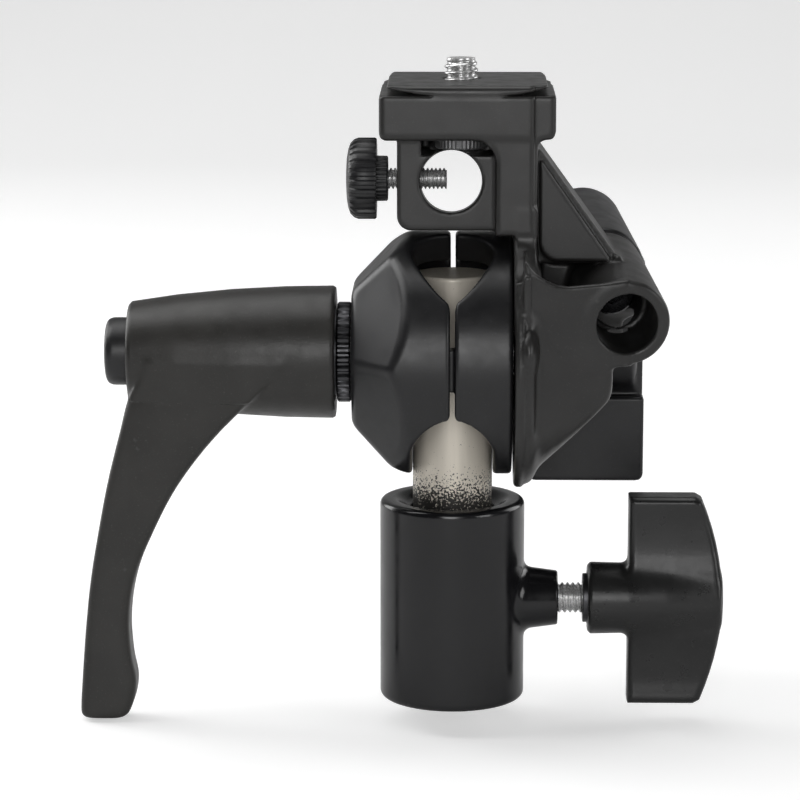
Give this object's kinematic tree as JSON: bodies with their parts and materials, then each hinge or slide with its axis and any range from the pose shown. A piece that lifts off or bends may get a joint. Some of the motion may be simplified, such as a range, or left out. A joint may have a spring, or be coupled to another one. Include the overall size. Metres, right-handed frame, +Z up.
{
  "type": "umbrella swivel bracket",
  "caption": "Tilting light-stand bracket: a stand socket with a T-screw, a split clamp drum with a ratchet lever, and a cast frame with an umbrella hole and a light shoe.",
  "frame": {"origin": "centre of the flat roof inside the stand socket, where a stand spigot's tip rests", "axes": "+Z up along the stand and the stem; +X towards the T-screw and the tube; -Y is the front, the side the light faces"},
  "size_m": [0.1207, 0.0712, 0.1246],
  "materials": {
    "socket_black": "semi-gloss black paint",
    "black_casting": "satin black powder coat",
    "frame_black": "fine satin black powder coat, slightly warm",
    "lever_grey": "fine-grained charcoal powder coat",
    "knob_plastic": "moulded black plastic with a fine grain",
    "dark_plastic": "matte black moulded plastic",
    "bare_steel": "bare turned steel, overspray at the foot",
    "zinc": "bright zinc plating",
    "dark_steel": "black oxide"
  },
  "bodies": {
    "socket": {"stand_socket": "socket_black", "pivot_stem": "bare_steel"},
    "socket_screw": {"socket_screw": "zinc"},
    "socket_knob": {"socket_knob": "knob_plastic", "knob_ferrule": "dark_steel"},
    "bracket": {"bracket_frame": "frame_black", "rear_housing": "black_casting", "housing_bolt": "dark_steel", "housing_nut": "zinc", "inner_jaw": "black_casting", "clamp_bolt": "zinc"},
    "outer_jaw": {"outer_jaw": "black_casting", "thrust_washer": "zinc"},
    "lever_insert": {"ratchet_insert": "dark_steel", "lever_screw": "zinc", "lever_spring": "zinc"},
    "lever": {"lever_handle": "lever_grey"},
    "lever_button": {"lever_button": "dark_plastic"},
    "umbrella_screw": {"umbrella_screw": "zinc"},
    "umbrella_knob": {"umbrella_knob": "dark_plastic"},
    "light_screw": {"light_screw": "zinc"},
    "light_screw_wheel": {"light_screw_wheel": "dark_steel"}
  },
  "joints": [
    {"name": "tilt", "type": "hinge", "parent": "socket", "child": "bracket", "pos_m": [0, 0, 0.0336], "axis": [1, 0, 0], "range_deg": [-32, 38]},
    {"name": "jaw_open", "type": "slide", "parent": "bracket", "child": "outer_jaw", "axis": [-1, 0, 0], "range_m": [0, 0.000625]},
    {"name": "lever_turn", "type": "hinge", "parent": "outer_jaw", "child": "lever_insert", "pos_m": [0, 0, 0.0336], "axis": [-1, 0, 0], "range_deg": [0, 180]},
    {"name": "lever_index", "type": "hinge", "parent": "lever_insert", "child": "lever", "pos_m": [0, 0, 0.0336], "axis": [-1, 0, 0], "continuous": true},
    {"name": "button_press", "type": "slide", "parent": "lever", "child": "lever_button", "axis": [1, 0, 0], "range_m": [0, 0.0029], "stiffness_N_per_m": 400},
    {"name": "socket_screw_travel", "type": "slide", "parent": "socket", "child": "socket_screw", "axis": [-1, 0, 0], "range_m": [-0.004, 0.004]},
    {"name": "socket_knob_turn", "type": "hinge", "parent": "socket_screw", "child": "socket_knob", "pos_m": [0, 0, -0.0132], "axis": [-1, 0, 0], "range_deg": [-1440, 1440]},
    {"name": "umbrella_screw_travel", "type": "slide", "parent": "bracket", "child": "umbrella_screw", "axis": [1, 0, 0], "range_m": [-0.0042, 0.0014]},
    {"name": "umbrella_knob_turn", "type": "hinge", "parent": "umbrella_screw", "child": "umbrella_knob", "pos_m": [-0.0141, 0, 0.066], "axis": [1, 0, 0], "range_deg": [-2160, 720]},
    {"name": "light_screw_travel", "type": "slide", "parent": "bracket", "child": "light_screw", "axis": [0, 0, 1], "range_m": [-0.00254, 0]},
    {"name": "light_wheel_turn", "type": "hinge", "parent": "light_screw", "child": "light_screw_wheel", "pos_m": [0.0014, 0.003, 0.0714], "axis": [0, 0, 1], "range_deg": [-720, 0]}
  ],
  "couplings": [
    {"joint": "lever_turn", "follows": "jaw_open", "rad_per_m": 5026.5},
    {"joint": "socket_knob_turn", "follows": "socket_screw_travel", "rad_per_m": 6283.2},
    {"joint": "umbrella_knob_turn", "follows": "umbrella_screw_travel", "rad_per_m": 8976},
    {"joint": "light_wheel_turn", "follows": "light_screw_travel", "rad_per_m": 4947.4}
  ]
}
